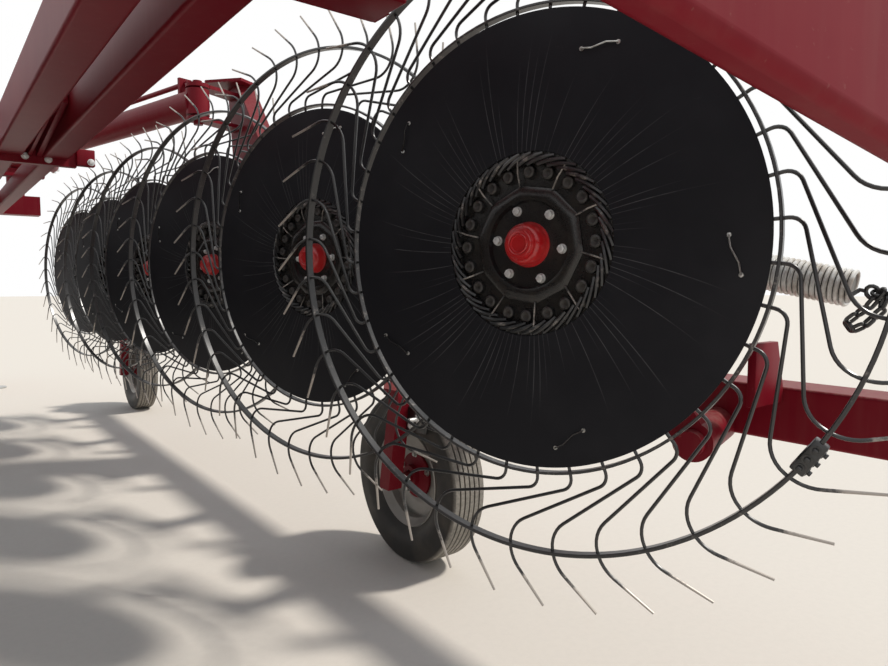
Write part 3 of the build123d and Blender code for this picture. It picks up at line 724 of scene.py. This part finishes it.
rakeWheel = {
    "count": 6,
    "turnStep": 9.0,  # degrees from a wheel to the next, in runs of three
    "tines": 40,
    "phase": 5.6,  # degrees clockwise from the rear
    "corners": ((0.172, 0.0), (0.512, 0.0), (0.606, 24.6), (0.676, 24.5), (0.770, 18.0)),
    "bends": (0.026, 0.066, 0.078),
    "bar": 0.0036,
    "tipShare": 0.74,  # of the bar's radius, at a tine's tip
    "tipTaper": 2.6,  # how fast that share grows, per metre
    "tipWear": 1.15,
    "wornLength": 0.125,
    "ring": (0.646, 0.654, 0.011, 0.30),  # inner and outer radius, half the depth, and wear
    "hoop": (0.477, 0.483, 0.010, 0.34),
    "bandEdge": 0.22,  # share of the band's thickness
    "spliceAngle": 35.0,
    "sleeve": (0.013, 0.024, 0.003),  # half width, half length, and rise over the ring
    "sleeveEdge": 0.003,
    "sleeveShifts": (-0.006, 0.012),
    "spliceBolts": (-0.02, 0.0, 0.02),
    "faceBolt": (0.0055, 0.008),  # radius and height
    "edgeBolt": (0.005, 0.007),
    "drum": (
        (0.042, -0.070), (0.042, -0.013), (0.186, -0.013), (0.197, -0.010), (0.197, 0.0020), (0.186, 0.0030),
        (0.166, 0.0030),
    ),
    "floor": (0.164, 0.128, 0.0),  # radii at the height of the hub's floor
    "floorHeight": -0.0085,
    "polygonSides": 10,
    "polygonPhase": 9.0,
    "polygon": ((0.125, 0.0), (0.125, 0.006), (0.12125, 0.0085), (0.1075, 0.0115)),  # radius and rise
    "dish": ((0.098, 0.0112), (0.093, 0.0100), (0.089, 0.0005), (0.046, 0.0005)),
    "plugRadius": 0.1500,
    "plugSpread": 8.4,  # degrees to either side of the middle of a polygon's side
    "plug": (
        (0.0145, 0.0), (0.0145, 0.0070), (0.01276, 0.0115), (0.00899, 0.0140), (0.006525, 0.0125),
        (0.0, 0.0118),
    ),
    "wirePoints": ((0.12125, 0.0, 0.0005), (0.150, 1.0, 0.0075), (0.180, 2.5, 0.0095)),
    "wireRadius": 0.0018,
    "wireWear": (0.4, 0.62, 0.5),
    "strands": 44,
    "strandEnds": (0.165, 0.187),
    "strandTurn": 19.0,
    "strandHeight": 0.0042,
    "strandBow": 0.0045,
    "strandRadius": 0.0043,
    "strandWear": (0.25, 0.45),  # least and most
    "strandShares": (0.8, 1.0, 1.0, 0.8),  # of that wear, between the ends
    "strandEndWear": 0.1,
    "bolts": 6,
    "boltCircle": 0.076,
    "boltPhase": 8.0,
    "boltRise": 0.0005,
    "bolt": (0.0086, 0.0100),
    "cap": (
        (0.0475, 0.0), (0.0475, 0.005), (0.0458, 0.0072), (0.0450, 0.018), (0.0425, 0.030), (0.0390, 0.0370),
        (0.0355, 0.0405), (0.0343, 0.0407), (0.0328, 0.0440), (0.0316, 0.0442), (0.0300, 0.0470),
        (0.0288, 0.0472), (0.0270, 0.0498), (0.0225, 0.0505), (0.0210, 0.0492), (0.0192, 0.0505),
        (0.0172, 0.0505), (0.0158, 0.0480), (0.0, 0.0475),
    ),
}


def addTines(bm, wheel):
    path = arcPath([onWheel(*corner) for corner in wheel["corners"]], wheel["bends"])
    left = [0.0]
    for first, second in zip(path[::-1], path[-2::-1]):
        left.append(left[-1] + (first - second).length)
    left.reverse()
    wear = [max(0.0, wheel["tipWear"] - reach / wheel["wornLength"]) for reach in left]
    sizes = [wheel["bar"] * min(1.0, wheel["tipShare"] + wheel["tipTaper"] * reach) for reach in left]
    for tine in range(wheel["tines"]):
        angle = wheel["phase"] + 360 * tine / wheel["tines"]
        turn = Matrix.Rotation(-math.radians(angle), 3, "Z")
        tube(bm, [turn @ point for point in path], sizes, wear=wear)


def addBand(bm, wheel, name, segments):
    # a flat hoop with its edges taken off
    inner, outer, half, wear = wheel[name]
    edge = (outer - inner) * wheel["bandEdge"]
    profile = [(inner, edge - half), (inner + edge, -half), (outer - edge, -half), (outer, edge - half)]
    profile += [(radius, -height) for radius, height in profile[::-1]]
    lathe(bm, profile, segments, closed=True, wear=[wear] * len(profile))


def addSplice(bm, wheel):
    # two sleeves over the outer ring's joint, bolted through their face and their outer edge
    inner, outer, half = wheel["ring"][:3]
    angle = wheel["spliceAngle"]
    middle = onWheel((inner + outer) / 2, angle)
    at = Matrix.Translation(middle) @ Matrix.Rotation(-math.radians(angle), 4, "Z")
    wide, long, rise = wheel["sleeve"]
    outline = [(-wide, -long), (wide, -long), (wide, long), (-wide, long)]
    for shift in wheel["sleeveShifts"]:
        sleeve = at @ Matrix.Translation((0, shift, 0))
        plate(bm, outline, -half - rise, half + rise, 0, sleeve, bevel=wheel["sleeveEdge"])
    outward = Matrix.Rotation(math.pi / 2, 4, "Y")
    for shift in wheel["spliceBolts"]:
        hexBolt(bm, at @ Matrix.Translation((0, shift, half + rise)), *wheel["faceBolt"])
        hexBolt(bm, at @ Matrix.Translation((wide, shift, 0)) @ outward, *wheel["edgeBolt"])


def sideRing(bm, radius, corners, phase, height, perSide):
    # vertices along the sides of a regular outline
    outline = [Vector((x, y, height)) for x, y in ngon(radius, corners, phase)]
    ring = []
    for place, corner in enumerate(outline):
        after = outline[(place + 1) % corners]
        ring += [bm.verts.new(corner.lerp(after, step / perSide)) for step in range(perSide)]
    return ring


def addPolygonAndDish(bm, wheel, slot):
    phase = -math.radians(wheel["polygonPhase"])
    floor, corners, perSide = wheel["floorHeight"], wheel["polygonSides"], 4
    rings = []
    for radius, rise in wheel["polygon"]:
        rings.append(sideRing(bm, radius, corners, phase, floor + rise, perSide))
    for radius, rise in wheel["dish"]:
        rings.append(sideRing(bm, radius, corners * perSide, phase, floor + rise, 1))
    joinRings(bm, rings, slot)


def addPlugs(bm, wheel, slot):
    apart = 360 / wheel["polygonSides"]
    for side in range(wheel["polygonSides"]):
        for spread in (-wheel["plugSpread"], wheel["plugSpread"]):
            turn = wheel["polygonPhase"] + apart * (side + 0.5) + spread
            at = Matrix.Translation(onWheel(wheel["plugRadius"], turn, wheel["floorHeight"]))
            lathe(bm, wheel["plug"], 18, slot, at)


def addHubWires(bm, wheel):
    # one from each corner of the polygon
    for side in range(wheel["polygonSides"]):
        turn = wheel["polygonPhase"] + 360 * side / wheel["polygonSides"]
        run = [onWheel(radius, turn + further, height) for radius, further, height in wheel["wirePoints"]]
        tube(bm, run, wheel["wireRadius"], 6, wear=wheel["wireWear"])


def addStrands(bm, wheel):
    # a rope of short bars around the drum's edge
    inner, outer = wheel["strandEnds"]
    least, most = wheel["strandWear"]
    steps = len(wheel["strandShares"]) + 1
    for strand in range(wheel["strands"]):
        start = 360 * strand / wheel["strands"]
        run = []
        for step in range(steps + 1):
            share = step / steps
            radius, turn = inner + (outer - inner) * share, start + wheel["strandTurn"] * share
            height = wheel["strandHeight"] + wheel["strandBow"] * math.sin(math.pi * share)
            run.append(onWheel(radius, turn, height))
        worn = least + (most - least) * (strand * 7 % 5) / 4
        middle = [worn * share for share in wheel["strandShares"]]
        wear = [wheel["strandEndWear"]] + middle + [wheel["strandEndWear"]]
        tube(bm, run, wheel["strandRadius"], 6, wear=wear)


def addHub(bm, wheel):
    steel, rubber, plated, cap = 1, 2, 3, 4
    floor = wheel["floorHeight"]
    drum = list(wheel["drum"]) + [(radius, floor) for radius in wheel["floor"]]
    drum.append((0.0, wheel["drum"][0][1]))
    lathe(bm, drum, 80, steel)
    addPolygonAndDish(bm, wheel, steel)
    addPlugs(bm, wheel, rubber)
    addHubWires(bm, wheel)
    addStrands(bm, wheel)
    for bolt in range(wheel["bolts"]):
        turn = wheel["boltPhase"] + 360 * bolt / wheel["bolts"]
        at = Matrix.Translation(onWheel(wheel["boltCircle"], turn, floor + wheel["boltRise"]))
        hexBolt(bm, at, *wheel["bolt"], plated, washer=1.2)
    lathe(bm, [(radius, floor + rise) for radius, rise in wheel["cap"]], 48, cap)


def makeRakeWheelMesh(wheel):
    bm = startMesh()
    addTines(bm, wheel)
    addBand(bm, wheel, "ring", 160)
    addBand(bm, wheel, "hoop", 120)
    addSplice(bm, wheel)
    addHub(bm, wheel)
    return finishMesh(bm, "rakeWheelR", [blackPaint, blackEnamel, rubberPlug, boltZinc, hubRed], sharp=34)


windPanel = {
    "inner": 0.190,
    "outer": 0.468,
    "back": 0.0038,
    "thickness": 0.004,
    "edge": 0.0012,
    "ties": (  # radius and clockwise angle of each wire's two holes, and its material
        ((0.391, -72.5), (0.418, -62.7), 1),
        ((0.421, -136.8), (0.396, -145.2), 2),
        ((0.398, -0.5), (0.425, 9.0), 1),
        ((0.433, 151.5), (0.398, 141.7), 2),
        ((0.426, 80.1), (0.399, 70.4), 2),
    ),
    "wire": 0.0017,
    "tieRise": 0.004,
    "tieBow": 0.003,
    "hole": ((0.0, 0.0), (0.0048, 0.0), (0.0040, 0.0018), (0.0, 0.0022)),
}


def makePanelMesh(panel):
    bm = startMesh()
    inner, outer, back, edge = panel["inner"], panel["outer"], panel["back"], panel["edge"]
    front = back + panel["thickness"]
    profile = [(inner, back), (inner, front - edge), (inner + edge, front)]
    profile += [(outer - edge, front), (outer, front - edge), (outer, back)]
    lathe(bm, profile, 160, closed=True)
    rise = Vector((0, 0, panel["tieRise"]))
    for first, last, slot in panel["ties"]:
        start, end = onWheel(*first, front), onWheel(*last, front)
        bow = (end - start).cross(Vector((0, 0, 1))).normalized() * panel["tieBow"]
        run = [start, start + rise, start.lerp(end, 0.3) + rise * 1.4 + bow]
        run += [start.lerp(end, 0.7) + rise * 1.4 - bow, end + rise, end]
        tube(bm, run, panel["wire"], 6, slot)
        for hole in (start, end):
            lathe(bm, panel["hole"], 12, 1, Matrix.Translation(hole))
    return finishMesh(bm, "windPanelR", [panelPlastic, zinc, blackEnamel])


wheelMeshes = bothSides(makeRakeWheelMesh(rakeWheel), "rakeWheelL")
panelMeshes = bothSides(makePanelMesh(windPanel), "windPanelL")
for number, side, end in numberedNames(rakeWheel["count"]):
    turn = math.radians(rakeWheel["turnStep"] * ((number - 1) % 3))
    at = wheelPlace(number, side) @ Matrix.Rotation(turn, 4, "Z")
    body = "wheel" + end
    placePiece(wheelMeshes[side], "rakeWheel" + end, body, at, ["rake_wheel" + end])
    placePiece(panelMeshes[side], "windPanel" + end, body, at, ["wind_panel" + end])
print("rake wheels made:", len(wheelMeshes["r"].polygons), "faces each")

# carriage wheels

roadWheel = {
    "count": 2,
    "radius": 0.332,
    "rim": 0.190,
    "wall": (  # radius above the rim and height, from bead to shoulder
        (0.001, 0.048), (0.010, 0.056), (0.020, 0.060), (0.028, 0.066), (0.044, 0.0735), (0.066, 0.0775),
        (0.086, 0.0765), (0.104, 0.0745), (0.122, 0.0738), (0.131, 0.0728), (0.138, 0.0690), (0.1415, 0.0640),
    ),
    "grooves": (-0.044, -0.022, 0.0, 0.022, 0.044),
    "grooveWidth": 0.0045,
    "grooveDepth": 0.007,
    "grooveEdge": 0.001,
    "shoulderWear": (0.5, 0.9),
    "treadWear": 0.95,
    "grooveWear": 0.1,
    "dish": (  # radius and height, round the rim's section
        (0.192, -0.058), (0.196, -0.055), (0.192, -0.050), (0.188, -0.046), (0.185, -0.036), (0.176, -0.032),
        (0.174, 0.018), (0.176, 0.034), (0.188, 0.046), (0.192, 0.050), (0.196, 0.055), (0.192, 0.058),
        (0.182, 0.050), (0.166, 0.038), (0.162, 0.014), (0.150, 0.012), (0.120, 0.022), (0.098, 0.022),
        (0.070, 0.012), (0.066, 0.006), (0.070, 0.000), (0.098, 0.010), (0.120, 0.010), (0.150, 0.000),
        (0.168, 0.002), (0.166, -0.030), (0.176, -0.038), (0.182, -0.048),
    ),
    "hub": (
        (0.026, -0.040), (0.044, -0.040), (0.046, -0.020), (0.060, -0.012), (0.090, -0.008), (0.090, 0.002),
        (0.066, 0.004), (0.060, 0.020), (0.044, 0.024), (0.040, 0.044), (0.030, 0.051), (0.0, 0.052),
    ),
    "studs": 5,
    "studCircle": 0.085,
    "studPhase": 0.3,
    "nut": (0.010, 0.014),  # radius and height
    "nutHeight": 0.016,
    "studHead": (0.009, 0.010),
    "studHeadHeight": -0.008,
}


def makeRoadWheelMesh(wheel):
    bm = startMesh()
    radius, edge = wheel["radius"], wheel["grooveEdge"]
    wall = [(wheel["rim"] + above, -height) for above, height in wheel["wall"]]
    wallWear = [0.0] * (len(wall) - 2) + list(wheel["shoulderWear"])
    crown = []
    for middle in wheel["grooves"]:
        near, far = middle - wheel["grooveWidth"] / 2, middle + wheel["grooveWidth"] / 2
        deep = radius - wheel["grooveDepth"]
        crown += [(radius, near - edge), (deep, near), (deep, far), (radius, far + edge)]
    crownWear = [wheel["treadWear"] if r == radius else wheel["grooveWear"] for r, z in crown]
    profile = wall + crown + [(r, -z) for r, z in wall[::-1]]
    lathe(bm, profile, 96, 0, closed=True, wear=wallWear + crownWear + wallWear[::-1])
    lathe(bm, wheel["dish"], 72, 1, closed=True)
    lathe(bm, wheel["hub"], 40, 2)
    inward = Matrix.Rotation(math.pi, 4, "X")
    for x, y in ngon(wheel["studCircle"], wheel["studs"], wheel["studPhase"]):
        hexBolt(bm, Matrix.Translation((x, y, wheel["nutHeight"])), *wheel["nut"], 3)
        hexBolt(bm, Matrix.Translation((x, y, wheel["studHeadHeight"])) @ inward, *wheel["studHead"], 3)
    return finishMesh(bm, "roadWheel", [tyreRubber, rimPaint, redPaint, zinc], sharp=32)


roadWheelMesh = makeRoadWheelMesh(roadWheel)
for number, side, end in numberedNames(roadWheel["count"]):
    outward = Vector((1 if side == "r" else -1, 0, 0))
    at = facing(outward, joints["tyre_spin" + end]["pos_m"])
    placePiece(roadWheelMesh, "roadWheel" + end, "tyre" + end, at, ["road_wheel" + end])
print("carriage wheels made")

# lift springs with their chains, posts and stop plates

liftSpring = {
    "peg": (-0.0209, 0.0341, -0.504),  # from the wheel's hub, with Z along its axis
    "hook": (1.1727, 0.565, 1.056),  # across, behind the hub, and above the ground
    "rod": (0.014, 0.160),  # from and to, along the line from peg to hook
    "rodRadius": 0.008,
    "coil": (0.085, 0.610),
    "radius": 0.0418,
    "wire": 0.0050,
    "turns": 44,
    "steps": 18,
    "endCap": ((0.0, 0.0), (0.01288, -0.008), (0.0388, 0.004), (0.0368, 0.010), (0.0, 0.010)),
    "coreRadius": 0.0305,
    "coreEnds": (0.004, 0.010),  # set back from the coil's ends
    "coreSteps": 24,
    "crook": (-0.004, 0.006, 0.018),  # past the coil's end, as the next two are
    "eye": 0.030,
    "chainStart": 0.042,
    "eyeRadius": 0.013,
    "endWire": 0.0045,
    "chainStop": 0.012,  # short of the hook
    "loop": (  # slack end of the chain: along the line past the coil, and down
        (0.045, 0.000), (0.026, 0.030), (0.002, 0.054), (-0.016, 0.074), (-0.004, 0.088),
        (0.022, 0.068), (0.044, 0.040), (0.054, 0.010),
    ),
    "loopShift": 0.004,
    "chainWire": 0.0042,
    "linkLength": 0.034,
    "linkWidth": 0.022,
    "hookHalf": (0.010, 0.014),  # along the line, and up
    "hookTurn": (-150, 33, 10),  # first angle, step and number of points
    "hookWire": 0.0048,
    "post": ((1.16070, 1.18470), 0.600, (0.790, 1.072), 0.070),  # across, behind the hub, up, and length
    "stop": ((1.1847, 0.820), (1.052, 0.820), (1.052, 0.965), (1.152, 0.965), (1.1847, 0.855)),
    "stopPlace": 0.245,  # behind the hub
    "stopThickness": 0.020,
    "postEdge": 0.003,
    "stopEdge": 0.002,
}


def addLink(bm, at, settings, slot):
    # a chain link in its own XY plane, long along X
    straight = (settings["linkLength"] - settings["linkWidth"]) / 2
    half = settings["linkWidth"] / 2 - settings["chainWire"]
    points = []
    for middle, first in ((straight, -90), (-straight, 90)):
        for step in range(7):
            x, y = polar(half, math.radians(first + 30 * step))
            points.append(at @ Vector((middle + x, y, 0)))
    tube(bm, points, settings["chainWire"], 6, slot, closed=True)


def addChain(bm, points, settings, slot):
    # links head to tail along points, each a quarter turn from the last
    pitch = settings["linkLength"] - 2.4 * settings["chainWire"]
    reach = 0.0
    count = 0
    for first, second in zip(points, points[1:]):
        run = second - first
        way = run.normalized()
        side = way.orthogonal().normalized()
        along = Matrix((way, side, way.cross(side))).transposed().to_4x4()
        while reach <= run.length:
            quarter = Matrix.Rotation(math.pi / 2 * (count % 2), 4, "X")
            addLink(bm, Matrix.Translation(first + way * reach) @ along @ quarter, settings, slot)
            reach += pitch
            count += 1
        reach -= run.length


def springEnds(number, settings):
    hub = wheelPlace(number, "r")
    across, behind, height = settings["hook"]
    return hub @ Vector(settings["peg"]), Vector((across, hub.translation.y - behind, height))


def addCoil(bm, peg, way, settings):
    # the turns, and their end near the hook
    side = way.orthogonal().normalized()
    other = way.cross(side)
    start, end = settings["coil"]
    wire = settings["wire"]
    radius = settings["radius"] - wire
    total = settings["turns"] * settings["steps"]
    coil = []
    for step in range(total + 1):
        x, y = polar(radius, 2 * math.pi * step / settings["steps"])
        reach = start + wire + (end - start - 2 * wire) * step / total
        coil.append(peg + way * reach + side * x + other * y)
    tube(bm, coil, wire, 7, 0)
    first, second, third = (peg + way * (end + past) for past in settings["crook"])
    tube(bm, [coil[-1], first + side * radius * 0.5, second, third], settings["endWire"], 7, 2)


def addRodAndCore(bm, peg, way, settings):
    tube(bm, [peg + way * reach for reach in settings["rod"]], settings["rodRadius"], 12, 1)
    start, end = settings["coil"]
    turned = way.to_track_quat("Z", "Y").to_matrix().to_4x4()
    lathe(bm, settings["endCap"], 20, 1, Matrix.Translation(peg + way * start) @ turned)
    low, high = start + settings["coreEnds"][0], end - settings["coreEnds"][1]
    steps = settings["coreSteps"]
    core = [peg + way * (low + (high - low) * step / steps) for step in range(steps + 1)]
    tube(bm, core, settings["coreRadius"], 20, 2)


def addHookAndChain(bm, last, hook, way, settings):
    # from the coil's end: the eye, the chain to the hook with its slack end, and the hook
    eye = []
    for x, z in ngon(settings["eyeRadius"], 12):
        eye.append(last + way * (settings["eye"] - x) + Vector((0, 0, z)))
    tube(bm, eye, settings["endWire"], 7, 2, closed=True)
    addChain(bm, [last + way * settings["chainStart"], hook - way * settings["chainStop"]], settings, 2)
    aside = settings["loopShift"]
    loop = [last + way * along - Vector((aside, 0, down)) for along, down in settings["loop"]]
    addChain(bm, loop, settings, 2)
    along, up = settings["hookHalf"]
    first, apart, count = settings["hookTurn"]
    ring = []
    for step in range(count):
        angle = math.radians(first + apart * step)
        ring.append(hook + way * along * math.cos(angle) + Vector((0, 0, up)) * math.sin(angle))
    tube(bm, ring, settings["hookWire"], 7, 2)


def makeSpringMesh(number, settings):
    bm = startMesh()
    peg, hook = springEnds(number, settings)
    way = (hook - peg).normalized()
    addRodAndCore(bm, peg, way, settings)
    addCoil(bm, peg, way, settings)
    addHookAndChain(bm, peg + way * settings["coil"][1], hook, way, settings)
    return finishMesh(bm, f"liftSpring_{number}_r", [springSteel, zinc, blackPaint]), peg, hook


def makePostMesh(settings):
    bm = startMesh()
    (near, far), behind, (low, high), deep = settings["post"]
    outline = [(near, -deep / 2), (far, -deep / 2), (far, deep / 2), (near, deep / 2)]
    for number in range(1, rakeWheel["count"] + 1):
        hub = wheelPlace(number, "r").translation
        at = Matrix.Translation((0, hub.y - behind, 0))
        plate(bm, outline, low, high, 0, at, bevel=settings["postEdge"])
        at = Matrix.Translation((0, hub.y - settings["stopPlace"], 0)) @ rearward
        plate(bm, settings["stop"], 0.0, settings["stopThickness"], 0, at, bevel=settings["stopEdge"])
    return finishMesh(bm, "springPostsR", [redPaint])


for number in range(1, rakeWheel["count"] + 1):
    mesh, peg, hook = makeSpringMesh(number, liftSpring)
    springs = bothSides(mesh, f"liftSpring_{number}_l")
    for side in sides:
        flip = Matrix() if side == "r" else mirror
        piece = addObject(f"liftSpring_{number}_{side}", springs[side])
        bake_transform(piece, "crank_%d_%s" % (number, side), "bank_" + side, flip @ peg, flip @ hook)
posts = bothSides(makePostMesh(liftSpring), "springPostsL")
for side in sides:
    replaced = ["lift_springs_" + side]
    placePiece(posts[side], "springPosts_" + side, "bank_" + side, Matrix(), replaced)
print("springs made")

# lock plates with their pins on the carriage legs

legLock = {
    "across": (1.0225, 1.0325),
    "outline": ((-2.385, 0.640), (-2.385, 0.540), (-2.512, 0.546), (-2.515, 0.585), (-2.470, 0.615)),
    "edge": 0.002,
    "secondShift": (-0.066, 4.110, 0.0),  # from the first leg to the second
    "pins": ((-2.468, 0.596, 0.040), (-2.423, 0.566, 0.012)),  # place and reach towards the middle
    "pinSize": 0.0085,
    "pinDome": 0.003,
    "headSize": 0.01275,
    "headHeight": 0.009,
}


def makeLegLockMesh(settings, number):
    bm = startMesh()
    shift = Matrix.Translation((number - 1) * Vector(settings["secondShift"]))
    near, far = settings["across"]
    plate(bm, settings["outline"], near, far, 1, shift @ lengthways, bevel=settings["edge"])
    size, dome = settings["pinSize"], settings["pinDome"]
    inward = Matrix.Rotation(-math.pi / 2, 4, "Y")
    for y, height, reach in settings["pins"]:
        at = shift @ Matrix.Translation((near, y, height)) @ inward
        lathe(bm, [(0.0, 0.0), (size, 0.0), (size, reach), (0.0, reach + dome)], 14, 0, at)
        hexBolt(bm, at, settings["headSize"], settings["headHeight"], 0)
    return finishMesh(bm, f"legLock_{number}_r", [boltZinc, blackPaint])


for number in range(1, roadWheel["count"] + 1):
    locks = bothSides(makeLegLockMesh(legLock, number), f"legLock_{number}_l")
    for side in sides:
        end = f"_{number}_{side}"
        placePiece(locks[side], "legLock" + end, "caster" + end)
print("leg locks made")

# rear frame: a copy with its cross tie raised, and splice gussets, ears and bolts

rearFrame = {
    "tieOld": ((-0.381, 0.381), (-3.345, -3.195), (1.585, 1.6495)),  # what is cut out of the copy
    "tieBox": ((-0.378, 0.378), (-3.335, -3.205), (1.649, 1.708)),
    "tieEdge": 0.006,
    "tieEnd": ((0.348, 0.372), (-3.325, -3.255), (1.706, 1.775)),
    "tieEndEdge": 0.003,
    "splice": -1.020,  # rear face of the rear splice plate
    "gussets": (  # left and right sides, rear end, and the lower edge's height there
        (0.012, 0.034, -1.73, 1.735),
        (-0.020, -0.006, -1.57, 1.700),
    ),
    "gussetFoot": 1.652,
    "gussetTop": 1.800,
    "gussetEdge": 0.002,
    "ear": ((0.166, 0.241), (-1.040, -1.000), (1.627, 1.701)),
    "earEdge": 0.004,
    "earBolt": (0.224, 1.645),  # across, and above the ground
    "bolts": ((-0.030, 1.650), (0.058, 1.643)),
    "bolt": (0.012, 0.012),  # radius and height
}


def addSpliceBolt(bm, settings, across, rear, height):
    at = Matrix.Translation((across, rear, height)) @ rearward
    hexBolt(bm, at, *settings["bolt"], 1, washer=1.3)


def makeRearFrameMesh(settings):
    bm = startMesh()
    bm.from_mesh(nodes["rear_frame"].data)
    bm.transform(nodes["rear_frame"].matrix_world)
    spans = settings["tieOld"]
    inside = [v for v in bm.verts if all(low < value < high for value, (low, high) in zip(v.co, spans))]
    bmesh.ops.delete(bm, geom=inside, context="VERTS")
    print("tie vertices taken from the copy:", len(inside))
    for face in bm.faces:
        face.material_index = 0
    addBox(bm, settings["tieBox"], settings["tieEdge"])
    addBoxPair(bm, settings["tieEnd"], settings["tieEndEdge"])
    splice = settings["splice"]
    foot, top = settings["gussetFoot"], settings["gussetTop"]
    for left, right, rear, height in settings["gussets"]:
        outline = [(splice, foot), (splice, top), (rear, top), (rear, height)]
        plate(bm, outline, left, right, 0, lengthways, bevel=settings["gussetEdge"])
    addBoxPair(bm, settings["ear"], settings["earEdge"])
    across, height = settings["earBolt"]
    for side in (-1, 1):
        addSpliceBolt(bm, settings, side * across, settings["ear"][1][0], height)
    for across, height in settings["bolts"]:
        addSpliceBolt(bm, settings, across, splice, height)
    return finishMesh(bm, "rearFrame", [redPaint, boltZinc])


placePiece(makeRearFrameMesh(rearFrame), "rearFrame", "root", Matrix(), ["rear_frame"])
print("rear frame made")

# finishes for the frame's own parts

bySlot = {
    "red_paint": redPaint,
    "black_paint": blackPaint,
    "black_plastic": panelPlastic,
    "zinc": zinc,
    "tyre": tyreRubber,
    "chrome": chrome,
}
slotOf = {part["node"]: part["material_slot"] for part in frame["record"]["subparts"]}
for name, node in nodes.items():
    node.data.materials.clear()
    node.data.materials.append(bySlot[slotOf[name]])
print("frame finished")

# floor


def makeFloor(settings):
    half = settings["floorHalf"]
    corners = ((-half, -half, 0), (half, -half, 0), (half, half, 0), (-half, half, 0))
    bm = bmesh.new()
    bm.faces.new([bm.verts.new(corner) for corner in corners])
    floor = addObject("floor", saveMesh(bm, "floor", [floorMaterial]))


makeFloor(studio)
